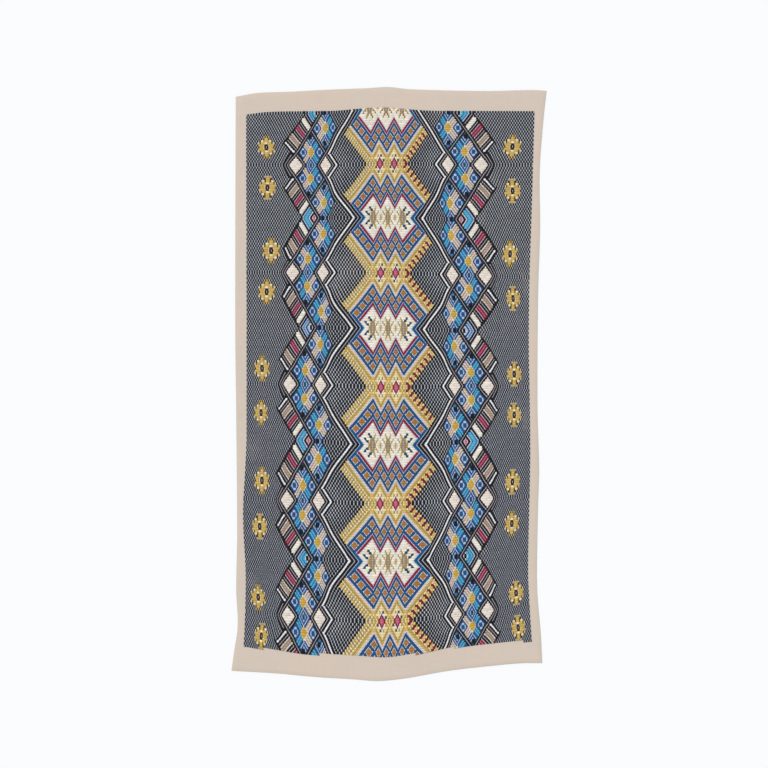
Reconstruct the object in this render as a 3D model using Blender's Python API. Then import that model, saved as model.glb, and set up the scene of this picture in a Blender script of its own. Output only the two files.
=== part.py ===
"""Brocade fabric: a loom-width panel of cotton with a brocaded field, lying flat.

The panel is one piece of cloth. A plain ground cloth runs from edge to edge, and a
brocaded field, thicker by its extra pattern wefts, covers all but a plain margin on
each of the four sides. The sides pull in and flare out a little, and the picks bow,
as they do on hand-woven cloth.

Units are metres. The cloth's width runs along X, its length along Y, and its face
looks up. The origin is on the underside, at the centre of the cloth's box.
"""

from collections import namedtuple

import bmesh
import bpy

# Driving dimensions.
CLOTH_THICKNESS = 0.0012      # plain ground cloth, in the margins
FIELD_THICKNESS = 0.0020      # ground cloth with the pattern wefts, in the field
FIELD_ROOT = 0.0006           # how deep the field's solid starts inside the ground cloth
EDGE_STEP = 0.012             # spacing of the points along an edge

Sides = namedtuple("Sides", "left right bottom top")
CLOTH_SIDES = Sides(left=-0.2576, right=0.2527, bottom=-0.4860, top=0.4959)
FIELD_SIDES = Sides(left=-0.2400, right=0.2391, bottom=-0.4496, top=0.4613)

# How far each edge stands out from its straight side, in millimetres.
# "along" runs from 0 to 1: left to right on the top and bottom, bottom to top on the
# left and right.
Bow = namedtuple("Bow", "along out_mm")

CLOTH_BOWS = Sides(
    left=(
        Bow(0.00, 7.4), Bow(0.03, 3.4), Bow(0.08, -3.2), Bow(0.14, -0.6),
        Bow(0.24, -2.2), Bow(0.45, -0.6), Bow(0.60, 1.0), Bow(1.00, 0.2),
    ),
    right=(
        Bow(0.00, 7.4), Bow(0.05, 4.9), Bow(0.12, -0.8), Bow(0.17, -1.7),
        Bow(0.28, 0.4), Bow(0.34, 2.0), Bow(0.45, -0.8), Bow(0.64, 0.2),
        Bow(0.76, 3.6), Bow(0.86, 3.0), Bow(0.95, 9.3), Bow(1.00, 14.7),
    ),
    bottom=(
        Bow(0.00, -1.5), Bow(0.15, 3.2), Bow(0.27, 9.0), Bow(0.40, 13.2),
        Bow(0.47, 15.9), Bow(0.56, 11.3), Bow(0.70, -1.5), Bow(0.87, -11.5),
        Bow(0.94, -14.4), Bow(1.00, -14.4),
    ),
    top=(
        Bow(0.00, -10.6), Bow(0.07, -4.2), Bow(0.18, -2.0), Bow(0.29, 1.2),
        Bow(0.43, 4.1), Bow(0.49, 5.9), Bow(0.56, 2.2), Bow(0.80, -0.8),
        Bow(0.96, 0.8), Bow(1.00, -0.5),
    ),
)

FIELD_BOWS = Sides(
    left=(
        Bow(0.00, 4.9), Bow(0.05, 2.6), Bow(0.14, 1.2), Bow(0.25, 5.4),
        Bow(0.33, 2.2), Bow(0.40, -0.3), Bow(1.00, 0.3),
    ),
    right=(
        Bow(0.00, 4.4), Bow(0.08, -0.2), Bow(0.15, -2.9), Bow(0.38, 0.8),
        Bow(0.57, -1.9), Bow(0.70, -0.2), Bow(0.80, 2.7), Bow(1.00, 8.1),
    ),
    bottom=(
        Bow(0.00, -5.4), Bow(0.12, 1.0), Bow(0.20, 5.6), Bow(0.39, 9.3),
        Bow(0.49, 11.8), Bow(0.57, 8.5), Bow(0.71, -2.7), Bow(0.83, -9.1),
        Bow(1.00, -15.5),
    ),
    top=(
        Bow(0.00, -5.9), Bow(0.08, -1.7), Bow(0.31, 0.2), Bow(0.39, 3.4),
        Bow(0.46, 5.7), Bow(0.52, 5.1), Bow(0.60, 1.5), Bow(0.68, 0.2),
        Bow(1.00, -0.3),
    ),
)

CLOTH_COLOUR = (0.46, 0.44, 0.42)
CLOTH_ROUGHNESS = 0.9


def slope(bows, index):
    """Slope of the smooth edge at a station: its neighbours' slope."""
    before = bows[max(index - 1, 0)]
    after = bows[min(index + 1, len(bows) - 1)]
    return (after.out_mm - before.out_mm) / (after.along - before.along)


def bow_at(bows, along):
    """How far the edge stands out, in metres, on a smooth curve through the stations."""
    index = 0
    while index < len(bows) - 2 and along > bows[index + 1].along:
        index += 1
    low, high = bows[index], bows[index + 1]
    span = high.along - low.along
    f = (along - low.along) / span
    out = (
        (2 * f**3 - 3 * f**2 + 1) * low.out_mm
        + (f**3 - 2 * f**2 + f) * span * slope(bows, index)
        + (3 * f**2 - 2 * f**3) * high.out_mm
        + (f**3 - f**2) * span * slope(bows, index + 1)
    )
    return out / 1000


def bowed_point(sides, bows, across, along):
    """The place on the table of a point at fractions across and along the cloth."""
    left = sides.left - bow_at(bows.left, along)
    right = sides.right + bow_at(bows.right, along)
    bottom = sides.bottom - bow_at(bows.bottom, across)
    top = sides.top + bow_at(bows.top, across)
    return left + (right - left) * across, bottom + (top - bottom) * along


def outline(sides, bows):
    """Points round the cloth, anticlockwise from its lower left corner."""
    count_across = round((sides.right - sides.left) / EDGE_STEP)
    count_along = round((sides.top - sides.bottom) / EDGE_STEP)
    points = []
    for i in range(count_across):
        points.append(bowed_point(sides, bows, i / count_across, 0))
    for i in range(count_along):
        points.append(bowed_point(sides, bows, 1, i / count_along))
    for i in range(count_across):
        points.append(bowed_point(sides, bows, 1 - i / count_across, 1))
    for i in range(count_along):
        points.append(bowed_point(sides, bows, 0, 1 - i / count_along))
    return points


def box_centre(points):
    """Centre of the box round a list of points."""
    xs = [x for x, _ in points]
    ys = [y for _, y in points]
    return (min(xs) + max(xs)) / 2, (min(ys) + max(ys)) / 2


def flat_sheet(name, points, centre, bottom, top):
    """A flat sheet with the given outline, as a closed mesh from bottom to top."""
    curve = bpy.data.curves.new(name, "CURVE")
    curve.dimensions = "2D"
    curve.fill_mode = "BOTH"
    curve.extrude = (top - bottom) / 2
    spline = curve.splines.new("POLY")
    spline.points.add(len(points) - 1)
    for knot, (x, y) in zip(spline.points, points):
        knot.co = (x - centre[0], y - centre[1], 0, 1)
    spline.use_cyclic_u = True

    flat = bpy.data.objects.new(name + "_outline", curve)
    flat.location.z = (top + bottom) / 2
    bpy.context.scene.collection.objects.link(flat)
    bpy.context.view_layer.update()
    evaluated = flat.evaluated_get(bpy.context.evaluated_depsgraph_get())
    mesh = bpy.data.meshes.new_from_object(evaluated)
    mesh.name = name

    welded = bmesh.new()
    welded.from_mesh(mesh)
    bmesh.ops.remove_doubles(welded, verts=welded.verts, dist=0.00005)
    bmesh.ops.recalc_face_normals(welded, faces=welded.faces)
    welded.to_mesh(mesh)
    welded.free()

    sheet = bpy.data.objects.new(name, mesh)
    sheet.matrix_world = flat.matrix_world.copy()
    bpy.data.objects.remove(flat, do_unlink=True)
    return sheet


def cloth_material():
    """Dry, matt cotton in the mean colour of the brocade."""
    material = bpy.data.materials.new("brocade_cotton")
    material.use_nodes = True
    shader = material.node_tree.nodes["Principled BSDF"]
    shader.inputs["Base Color"].default_value = (*CLOTH_COLOUR, 1)
    shader.inputs["Roughness"].default_value = CLOTH_ROUGHNESS
    shader.inputs["Metallic"].default_value = 0
    material.diffuse_color = (*CLOTH_COLOUR, 1)
    return material


def brocade_panel(parts, cutters):
    """The ground cloth with its raised brocaded field, as one solid."""
    cloth_outline = outline(CLOTH_SIDES, CLOTH_BOWS)
    field_outline = outline(FIELD_SIDES, FIELD_BOWS)
    centre = box_centre(cloth_outline)

    panel = flat_sheet("brocade_panel", cloth_outline, centre, 0, CLOTH_THICKNESS)
    parts.objects.link(panel)
    panel.data.materials.append(cloth_material())

    field = flat_sheet("brocaded_field", field_outline, centre, FIELD_ROOT, FIELD_THICKNESS)
    cutters.objects.link(field)
    field.hide_render = True
    field.display_type = "WIRE"

    union = panel.modifiers.new("raised_field", "BOOLEAN")
    union.operation = "UNION"
    union.object = field
    return panel


def main():
    for thing in list(bpy.data.objects):
        bpy.data.objects.remove(thing, do_unlink=True)
    parts = bpy.data.collections.new("brocade_fabric")
    cutters = bpy.data.collections.new("joining_shapes")
    bpy.context.scene.collection.children.link(parts)
    bpy.context.scene.collection.children.link(cutters)
    brocade_panel(parts, cutters)


main()
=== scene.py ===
"""Brocade fabric: a loom-width cotton panel, woven float by float.

The brocaded field has 205 columns and up to 233 rows. A chart, drawn by rule from the
diagonals of one medallion, gives each cell its yarn, and every run of one yarn in a row
becomes a float: a small padded thread that lies on the ground cloth. Units are metres. The
cloth lies face up, with its width along X and its length along Y.
"""

import math
from collections import namedtuple

import bpy
import numpy as np
from bpy.props import FloatProperty, FloatVectorProperty, IntProperty, PointerProperty
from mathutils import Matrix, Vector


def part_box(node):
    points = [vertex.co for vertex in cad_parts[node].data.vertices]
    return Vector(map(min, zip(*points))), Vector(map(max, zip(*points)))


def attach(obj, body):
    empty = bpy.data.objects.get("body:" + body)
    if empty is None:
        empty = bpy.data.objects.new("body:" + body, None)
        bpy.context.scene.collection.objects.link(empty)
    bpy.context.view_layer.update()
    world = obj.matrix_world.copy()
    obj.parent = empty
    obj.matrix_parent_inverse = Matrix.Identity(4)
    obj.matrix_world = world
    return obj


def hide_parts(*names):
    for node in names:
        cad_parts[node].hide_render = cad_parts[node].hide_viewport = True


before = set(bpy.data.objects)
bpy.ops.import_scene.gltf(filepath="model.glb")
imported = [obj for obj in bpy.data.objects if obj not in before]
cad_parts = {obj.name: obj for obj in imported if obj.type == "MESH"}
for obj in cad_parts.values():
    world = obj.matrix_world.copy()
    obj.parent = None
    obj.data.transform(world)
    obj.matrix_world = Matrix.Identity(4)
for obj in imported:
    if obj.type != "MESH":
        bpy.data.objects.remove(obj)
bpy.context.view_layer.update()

bl_info = {
    "name": "Brocade fabric",
    "version": (1, 0, 0),
    "blender": (4, 5, 0),
    "location": "3D View > Sidebar > Brocade",
    "description": "Weaves a brocaded cotton panel from a chart of rules",
    "category": "Add Mesh",
}


# ---------------------------------------------------------------- curves

def smooth_step(value, low, high):
    f = np.clip((value - low) / (high - low), 0, 1)
    return f * f * (3 - 2 * f)


def hump(distance):
    """1 in the middle, 0 from a distance of 1."""
    return np.clip(1 - distance**2, 0, 1) ** 2


def smooth_curve(places, values, at):
    """A smooth curve through the values at some places, which are in rising order."""
    places, values = np.array(places, float), np.array(values, float)
    last = len(places) - 1
    before = np.maximum(np.arange(last + 1) - 1, 0)
    after = np.minimum(np.arange(last + 1) + 1, last)
    slopes = (values[after] - values[before]) / (places[after] - places[before])
    i = np.clip(np.searchsorted(places, at) - 1, 0, last - 1)
    span = places[i + 1] - places[i]
    f = (at - places[i]) / span
    return (
        (2 * f**3 - 3 * f**2 + 1) * values[i] + (f**3 - 2 * f**2 + f) * span * slopes[i]
        + (3 * f**2 - 2 * f**3) * values[i + 1] + (f**3 - f**2) * span * slopes[i + 1]
    )


# ---------------------------------------------------------------- the cloth's edges

Sides = namedtuple("Sides", "left right bottom top")
CLOTH_SIDES = Sides(left=-0.2576, right=0.2527, bottom=-0.4860, top=0.4959)
FIELD_SIDES = Sides(left=-0.2400, right=0.2391, bottom=-0.4496, top=0.4613)

# How far each edge stands out from its straight side: pairs of a percentage along it and
# millimetres. The bottom and top run from left to right, the left and right from bottom
# to top.
CLOTH_BOWS = Sides(
    left=(
        (0, 7.4), (3, 3.4), (8, -3.2), (14, -0.6), (24, -2.2), (45, -0.6),
        (60, 1.0), (100, 0.2),
    ),
    right=(
        (0, 7.4), (5, 4.9), (12, -0.8), (17, -1.7), (28, 0.4), (34, 2.0),
        (45, -0.8), (64, 0.2), (76, 3.6), (86, 3.0), (95, 9.3), (100, 14.7),
    ),
    bottom=(
        (0, -1.5), (15, 3.2), (27, 9.0), (40, 13.2), (47, 15.9), (56, 11.3),
        (70, -1.5), (87, -11.5), (94, -14.4), (100, -14.4),
    ),
    top=(
        (0, -10.6), (7, -4.2), (18, -2.0), (29, 1.2), (43, 4.1), (49, 5.9),
        (56, 2.2), (80, -0.8), (96, 0.8), (100, -0.5),
    ),
)
FIELD_BOWS = Sides(
    left=(
        (0, 4.9), (5, 2.6), (14, 1.2), (25, 5.4), (33, 2.2), (40, -0.3),
        (100, 0.3),
    ),
    right=(
        (0, 4.4), (8, -0.2), (15, -2.9), (38, 0.8), (57, -1.9), (70, -0.2),
        (80, 2.7), (100, 8.1),
    ),
    bottom=(
        (0, -5.4), (12, 1.0), (20, 5.6), (39, 9.3), (49, 11.8), (57, 8.5),
        (71, -2.7), (83, -9.1), (100, -15.5),
    ),
    top=(
        (0, -5.9), (8, -1.7), (31, 0.2), (39, 3.4), (46, 5.7), (52, 5.1),
        (60, 1.5), (68, 0.2), (100, -0.3),
    ),
)
EDGE_STEP = 0.012       # spacing of the points that measure the outline


def bow_at(bow, along):
    """How far an edge stands out, in metres."""
    percents, out_mm = zip(*bow)
    return smooth_curve(np.array(percents) / 100, out_mm, along) / 1000


def width_and_length(sides):
    """The straight part of an outline, which is the sheet's flat size for the cloth."""
    return sides.right - sides.left, sides.top - sides.bottom


def bowed_point(sides, bows, across, along):
    """The place of a point at fractions across and along the cloth."""
    left = sides.left - bow_at(bows.left, along)
    right = sides.right + bow_at(bows.right, along)
    bottom = sides.bottom - bow_at(bows.bottom, across)
    top = sides.top + bow_at(bows.top, across)
    return left + (right - left) * across, bottom + (top - bottom) * along


def cloth_centre():
    """Centre of the box round the cloth's outline, which is the model's origin."""
    across, along = (
        np.linspace(0, 1, round(side / EDGE_STEP) + 1) for side in width_and_length(CLOTH_SIDES))
    edges = []
    for end in (0.0, 1.0):
        edges.append(bowed_point(CLOTH_SIDES, CLOTH_BOWS, across, np.full(across.shape, end)))
        edges.append(bowed_point(CLOTH_SIDES, CLOTH_BOWS, np.full(along.shape, end), along))
    xs = np.concatenate([edge[0] for edge in edges])
    ys = np.concatenate([edge[1] for edge in edges])
    return (xs.min() + xs.max()) / 2, (ys.min() + ys.max()) / 2


# ---------------------------------------------------------------- where the threads lie

COLUMNS = 205
AXIS = COLUMNS // 2
ROWS = 233
FIRST_MEDALLION = 1     # row of the first medallion's middle
HALF_REPEAT = 24        # rows from a medallion's middle to the waist below it
# The rows of the medallions' middles and the waists, where the tables below measure.
MARK_ROWS = range(FIRST_MEDALLION, ROWS, HALF_REPEAT)

# Heights of those picks from the middle of the cloth, in millimetres. Picks bow. The
# stations are the field's left edge, the left net, the centre line, the right net and the
# right edge.
PICK_COLUMNS = (-COLUMNS / 2, -50, 0, 50, COLUMNS / 2)
PICK_HEIGHTS = (
    (451.5, 457.6, 465.2, 458.3, 457.2),
    (371.2, 369.2, 372.4, 370.7, 370.0),
    (282.1, 280.4, 281.3, 277.9, 278.8),
    (188.4, 188.4, 187.7, 184.0, 179.9),
    (96.2, 95.4, 94.0, 90.0, 87.8),
    (0.8, -1.1, -5.7, -3.6, -5.2),
    (-93.0, -95.7, -104.9, -97.6, -95.6),
    (-193.4, -197.6, -202.7, -195.6, -189.4),
    (-289.9, -294.7, -300.9, -290.9, -281.5),
    (-383.5, -394.7, -400.6, -388.0, -370.0),
)
# The bottom edge of the field runs a little across the picks: the rows above it there.
BOTTOM_ROWS = (232.0, 230.6, 230.0, 231.8, 232.6)

# How far some warp columns lie from the centre line at the marked rows, in millimetres, and
# how far the centre line itself drifts to the right there and at the bottom.
REACH_COLUMNS = (0, 12, 24, 35, 44, 66, COLUMNS / 2)
LEFT_REACH = (
    (28.1, 59.4, 83.8, 102.3, 150.9), (24.4, 54.9, 82.7, 103.9, 154.1),
    (23.9, 60.2, 90.4, 108.2, 159.8), (25.9, 58.6, 87.5, 110.7, 161.9),
    (25.6, 63.5, 94.9, 114.2, 164.6), (25.6, 60.7, 91.8, 114.8, 167.6),
    (25.8, 65.2, 96.1, 117.9, 170.6), (26.5, 63.7, 93.1, 117.3, 170.9),
    (25.9, 68.2, 98.1, 118.7, 174.2), (26.4, 65.7, 94.5, 118.8, 172.2),
)
RIGHT_REACH = (
    (26.6, 56.8, 84.1, 103.8, 163.5), (24.1, 54.9, 79.5, 102.8, 158.7),
    (23.9, 60.9, 87.4, 105.3, 163.3), (24.9, 58.1, 86.0, 108.1, 164.8),
    (25.4, 63.2, 90.9, 110.9, 166.1), (25.8, 61.3, 89.6, 111.7, 168.5),
    (25.4, 66.3, 94.9, 113.2, 169.9), (26.5, 64.4, 91.1, 112.2, 168.3),
    (26.4, 70.4, 93.7, 113.4, 167.9), (26.4, 65.2, 91.3, 112.6, 166.3),
)
CENTRE_DRIFT = (-3.7, -2.0, -0.7, 0.0, -0.3, 0.3, -0.3, -0.7, -0.5, 2.2, 3.6)

# Between a medallion and a waist the warps beside the white zigzag bulge outwards, by some
# millimetres in each half repeat.
LEFT_BULGE = (2.3, 3.3, 1.5, 3.7, 2.4, 1.4, 2.3, 1.9, 4.6, 6.0)
RIGHT_BULGE = (0.7, 2.5, 1.3, 3.7, 3.7, 1.1, 2.3, 2.0, 4.7, 5.2)
BULGE_OUT, BULGE_WIDTH = 34, 12
BULGE_RISE, BULGE_HEIGHT = 9.5, 9.5

# The outer corners of the striped bands stand out too, by some millimetres. Each grows
# from the band's inner diagonal to its outer one, rises and falls over some rows, and
# fades in the check beyond.
LEFT_CORNER = (5.7, 2.7, 0.0, 1.5, 4.2, 5.7, 3.5, 2.5, 4.9, 8.0)
RIGHT_CORNER = (4.9, 6.2, 4.9, 6.1, 4.4, 3.6, 3.2, 2.7, 1.9, 6.0)
CORNER_INNER_Q, CORNER_OUTER_Q = 48, 60
CORNER_RISE, CORNER_FALL = 13, 11
CORNER_FADE = (74, 97)

# The plain lozenges at the waists swell sideways, and push the frames beside them apart.
LOZENGE_SWELL = 0.0020
LOZENGE_OUT = 66
LOZENGE_RISE = (13, 19)
LOZENGE_INSIDE, LOZENGE_OUTSIDE = (0, 3.5), (6, 11)


def bottom_row(column):
    """How many rows lie above the field's bottom edge, at a column."""
    return smooth_curve(PICK_COLUMNS, BOTTOM_ROWS, column)


def pick_height(column, row, across):
    """Y of the line above a row, at a column. Row 0 is the topmost."""
    rows = [0, *MARK_ROWS, bottom_row(column)]
    lines = [FIELD_SIDES.top + bow_at(FIELD_BOWS.top, across)]
    lines += [smooth_curve(PICK_COLUMNS, heights, column) / 1000 for heights in PICK_HEIGHTS]
    lines.append(FIELD_SIDES.bottom - bow_at(FIELD_BOWS.bottom, across))
    height = np.zeros(row.shape)
    for i in range(len(rows) - 1):
        f = (row - rows[i]) / (rows[i + 1] - rows[i])
        height = np.where(row >= rows[i], lines[i] + (lines[i + 1] - lines[i]) * f, height)
    return height


def warp_place(column, row, along):
    """X of a warp line, counted in columns from the centre line, at a row."""
    out = abs(column)
    rise = HALF_REPEAT - abs((row - FIRST_MEDALLION) % (2 * HALF_REPEAT) - HALF_REPEAT)
    half = np.clip((row - FIRST_MEDALLION) // HALF_REPEAT, 0, len(MARK_ROWS) - 1).astype(int)
    from_lozenge = abs(out - LOZENGE_OUT)
    swell = LOZENGE_SWELL * np.sign(out - LOZENGE_OUT) * smooth_step(rise, *LOZENGE_RISE)
    swell *= smooth_step(from_lozenge, *LOZENGE_INSIDE)
    swell *= 1 - smooth_step(from_lozenge, *LOZENGE_OUTSIDE)
    bulge = hump((out - BULGE_OUT) / BULGE_WIDTH) * hump((rise - BULGE_RISE) / BULGE_HEIGHT) / 1000
    corner = (out - rise - CORNER_INNER_Q) / (CORNER_OUTER_Q - CORNER_INNER_Q)
    corner = np.clip(corner, 0, 1) * (1 - smooth_step(out, *CORNER_FADE)) / 1000
    corner *= np.clip(np.minimum(rise / CORNER_RISE, (HALF_REPEAT - rise) / CORNER_FALL), 0, 1)

    drift = np.interp(row, (*MARK_ROWS, ROWS), np.array(CENTRE_DRIFT) / 1000)
    place = np.zeros(column.shape)
    for sign, side, bow, table, bulges, corners in (
        (-1, FIELD_SIDES.left, FIELD_BOWS.left, LEFT_REACH, LEFT_BULGE, LEFT_CORNER),
        (1, FIELD_SIDES.right, FIELD_BOWS.right, RIGHT_REACH, RIGHT_BULGE, RIGHT_CORNER),
    ):
        marks = [np.zeros(column.shape)]
        marks += [np.interp(row, MARK_ROWS, np.array(reach) / 1000) for reach in zip(*table)]
        marks.append(abs(side) + bow_at(bow, along) - sign * drift)
        for i in range(len(marks) - 1):
            low, high = REACH_COLUMNS[i], REACH_COLUMNS[i + 1]
            between = (out >= low) & (out <= high) & (np.sign(column) == sign)
            x = marks[i] + (marks[i + 1] - marks[i]) * (out - low) / (high - low)
            x += swell + bulge * np.array(bulges)[half] + corner * np.array(corners)[half]
            place = np.where(between, sign * x, place)
    return place + drift


def thread_place(column, row):
    """X and Y of a crossing, column counted from the centre line and row from the top."""
    column, row = np.broadcast_arrays(np.asarray(column, float), np.asarray(row, float))
    width, length = width_and_length(FIELD_SIDES)
    across = 0.5 + column / COLUMNS
    for _ in range(3):      # a height needs its place across, and that needs the height
        y = pick_height(column, row, across)
        x = warp_place(column, row, np.clip((y - FIELD_SIDES.bottom) / length, 0, 1))
        across = np.clip((x - FIELD_SIDES.left) / width, 0, 1)
    centre = cloth_centre()
    return x - centre[0], y - centre[1]


# ---------------------------------------------------------------- the chart

# A dye's share of its seen colour: the stage's light is brighter than white by the rest.
DYE_SHARE = 0.84
# A yarn's dye, 0 to 255, and its fullness: how many columns it spreads over its neighbours.
Yarn = namedtuple("Yarn", "name red green blue fullness")
YARNS = (
    Yarn("black", 9, 9, 17, 0.26),
    Yarn("check_white", 178, 183, 193, 0.0),
    Yarn("white", 238, 238, 240, -0.10),
    Yarn("grey", 180, 174, 182, 0.05),
    Yarn("cream", 236, 230, 215, 0.28),
    Yarn("gold", 212, 178, 94, 0.05),
    Yarn("pale_gold", 243, 222, 166, 0.0),
    Yarn("sun_yellow", 202, 164, 66, 0.40),
    Yarn("navy", 28, 76, 132, 0.12),
    Yarn("cobalt", 56, 112, 164, -0.08),
    Yarn("lattice_blue", 12, 78, 130, 0.32),
    Yarn("cyan", 78, 176, 212, 0.10),
    Yarn("pale_blue", 170, 196, 226, 0.04),
    Yarn("brown", 168, 114, 60, 0.12),
    Yarn("crimson", 138, 20, 56, 0.25),
    Yarn("dark_red", 118, 26, 44, 0.42),
    Yarn("pink", 200, 100, 128, 0.16),
    Yarn("taupe", 156, 138, 122, 0.02),
    Yarn("mauve", 222, 208, 196, 0.14),
    Yarn("olive", 180, 156, 82, 0.10),
    Yarn("lavender", 218, 212, 226, 0.0),
    Yarn("teal", 22, 68, 106, 0.36),
    Yarn("dark_brown", 108, 70, 48, 0.10),
    Yarn("fawn", 184, 162, 146, 0.05),
    Yarn("shell", 235, 224, 213, 0.28),
    Yarn("flower_gold", 204, 172, 92, 0.15),
)
YARN_NUMBER = {yarn.name: number for number, yarn in enumerate(YARNS)}
# Check cells are small, so they spread less, but more towards the middle: from one P to
# another.
CHECK_FULLNESS, MIDDLE_CHECK_FULLNESS = 0.3, 0.9
CHECK_CHANGE_P = (42, 60)

# The diagonals of the net's frames, of the white zigzag inside it and of the middle
# panel's edge, the first and last ones of the striped bands, and the row of a medallion
# where the net's inner frame meets the zigzag.
FRAMES_P, FRAMES_Q = (62, 84), (26, 48)
ZIGZAG_P, ZIGZAG_Q = 60, 24
PANEL_Q = 18
BAND_Q = (50, 59)
BAND_END_P = 86
KNEE_RISE = 7

Stripe = namedtuple("Stripe", "low high yarn")


class Chart:
    """The field's cells. Diagonals are lines of constant P and Q on each side."""

    def __init__(self):
        self.row, column = np.indices((ROWS, COLUMNS))
        self.across = column - AXIS
        self.out = abs(self.across)
        self.half = (self.row - FIRST_MEDALLION) // HALF_REPEAT
        step = (self.row - FIRST_MEDALLION) % HALF_REPEAT
        # rise counts the rows from the nearest medallion's middle, 0 to 23
        self.rise = np.where(self.half % 2 == 0, step, HALF_REPEAT - 1 - step)
        self.P = self.out + self.rise
        self.Q = self.out - self.rise
        self.yarn = np.zeros((ROWS, COLUMNS), int)
        self.part = np.zeros((ROWS, COLUMNS), int)
        self.parts = 0

    def paint(self, where, yarn, leaning=True):
        """Give the cells a yarn. Leaning parts have slanted edges, and check cells don't."""
        self.yarn[where] = YARN_NUMBER[yarn]
        self.parts += 1
        self.part[where] = self.parts if leaning else 0

    def stripes(self, where, value, table):
        for stripe in table:
            self.paint(where & (value >= stripe.low) & (value <= stripe.high), stripe.yarn)


def stripe_table(first, words):
    """Stripes side by side, from a first diagonal on. cream*3 is three diagonals wide."""
    table = []
    for word in words.split():
        yarn, _, width = word.partition("*")
        table.append(Stripe(first, first + int(width or 1) - 1, yarn))
        first = table[-1].high + 1
    return table


FRAME = stripe_table(-1, "black grey black")
CHEVRONS = stripe_table(2, "navy pale_blue navy pale_blue cobalt*4")
SIDE_DIAMOND = stripe_table(0, "navy pale_blue navy")
WAIST_DIAMOND = stripe_table(0, "teal pale_blue navy pale_blue navy")
OUTER_STRIPES = stripe_table(
    61, "lavender cream*3 black grey black lavender crimson pink crimson lavender black grey black"
    " mauve taupe fawn taupe mauve black grey black white*2 black")
GOLD_BAND = stripe_table(1, "lavender mauve gold olive pale_gold")
LAVENDER_TIP = stripe_table(50, "lavender*5 cobalt cyan*2 cobalt pale_blue")
CYAN_TIP = stripe_table(50, "pale_blue*3 cyan cobalt cyan cobalt pale_blue black grey")
NAVY_TIP = stripe_table(
    50, "pale_blue*2 cobalt pale_blue navy pale_blue cobalt pale_blue black lavender")
NAVY_TIP_MEDALLION = 2
EYE = stripe_table(0, "pink white black")
DOT = stripe_table(0, "black white")
EYE_RIM = stripe_table(3, "cream pale_gold")
GOLD_DIAMOND = stripe_table(0, "pale_gold olive pale_gold gold")
# Yarns of the teeth along a waist's edge, left and right.
TEETH = (
    ("taupe", "dark_red"), ("pale_gold", "pale_gold"), ("olive", "gold"), ("pale_gold", "pale_gold"))
# Half repeats whose eyes have teal hooks, and those in which the bright side of a sun
# cell faces the centre line, for cells centred on each column.
TEAL_HOOKS = (0, 1, 2, 3, 8, 9, 10)
BRIGHT_INWARD = {44: (0, 1, 2, 4, 6), 55: (0, 1, 2, 6)}
CELL_REACH = 9          # diagonals from a sun cell's centre to its sides


def check_ground(chart):
    """Cells of black and white in turn, over the whole field."""
    within_zigzag = (chart.Q > ZIGZAG_Q) & (chart.P <= ZIGZAG_P)
    outside_net = (chart.Q >= BAND_Q[0]) * (chart.half // 2)
    dark = (chart.out + chart.rise + within_zigzag + outside_net) % 2 == 0
    chart.paint(dark, "black", leaning=False)
    chart.paint(~dark, "check_white", leaning=False)


def frames(chart):
    """Black, grey and black lines between the cells of the net."""
    P, Q = chart.P, chart.Q
    in_net = (Q > ZIGZAG_Q) & (Q < BAND_Q[0])
    for middle in FRAMES_P:
        chart.stripes(in_net, P - middle, FRAME)
    chart.stripes(Q <= ZIGZAG_Q, P - FRAMES_P[0], FRAME)
    chart.stripes(chart.rise >= KNEE_RISE, Q - FRAMES_Q[0], FRAME)
    chart.stripes(chart.out > 0, Q - FRAMES_Q[1], FRAME)


def sun_cell(chart, centre_out, centre_rise, closed):
    """A cell of the net: a sun, chevrons above and below it, a diamond on each side."""
    P, Q, rise = chart.P, chart.Q, chart.rise
    aside = chart.out - centre_out
    away = np.maximum(centre_rise - 1 - rise, rise - centre_rise)   # 0 in the two middle rows
    from_sun = abs(aside) + away
    cell = abs(P - centre_out - centre_rise) <= CELL_REACH
    cell &= abs(Q - centre_out + centre_rise) <= CELL_REACH
    if not closed:
        cell |= (P >= centre_out - 2) & (rise < centre_rise)
        cell &= (P <= ZIGZAG_P) & (Q <= FRAMES_Q[1] - 2) & (from_sun <= CELL_REACH)
    chevron = away - abs(aside)
    bright = np.where(np.isin(chart.half, BRIGHT_INWARD[centre_out]), aside < 0, aside > 0)
    for value in range(-CELL_REACH, 2):
        ray = cell & (chevron == value)
        chart.paint(ray & bright, ("cyan", "cobalt")[value % 2])
        chart.paint(ray & ~bright, ("fawn", "mauve")[value % 2])
    chart.stripes(cell, chevron, CHEVRONS)
    chart.paint(cell & (away >= 6) & (away <= 7) & (aside >= 0) & (aside <= 1), "black")
    for side in (-1, 1):
        ring = (abs(aside - 6.5 * side) + away - 0.5).astype(int)
        chart.stripes(cell & (abs(aside) > 2), ring, SIDE_DIAMOND)
        chart.paint(cell & (abs(aside) > 6) & (ring == 3), "pale_blue")
    if closed:
        chart.stripes(cell, abs(aside) + HALF_REPEAT - 1 - rise, WAIST_DIAMOND)
    chart.paint(cell & (from_sun <= 2), "pale_gold")
    chart.paint(cell & (from_sun <= 1), "sun_yellow")


def edge_diamonds(chart):
    """The diamonds where the outer stripes meet, at the level of each medallion."""
    P, Q = chart.P, chart.Q
    medallion = (chart.half + 1) // 2
    odd = medallion % 2 == 1
    navy = ~odd & (medallion == NAVY_TIP_MEDALLION)
    inside = (Q >= BAND_Q[0]) & (P <= BAND_Q[1])
    eye = abs(chart.out - BAND_Q[0] - 1) + chart.rise
    chart.stripes(inside & odd, P, LAVENDER_TIP)
    chart.stripes(inside & odd, eye, EYE)
    chart.stripes(inside & navy, P, NAVY_TIP)
    chart.stripes(inside & ~odd & ~navy, P, CYAN_TIP)
    chart.stripes(inside & ~odd, eye, DOT)
    chart.paint((Q >= BAND_Q[0]) & (P == BAND_Q[1] + 1), "black")


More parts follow.
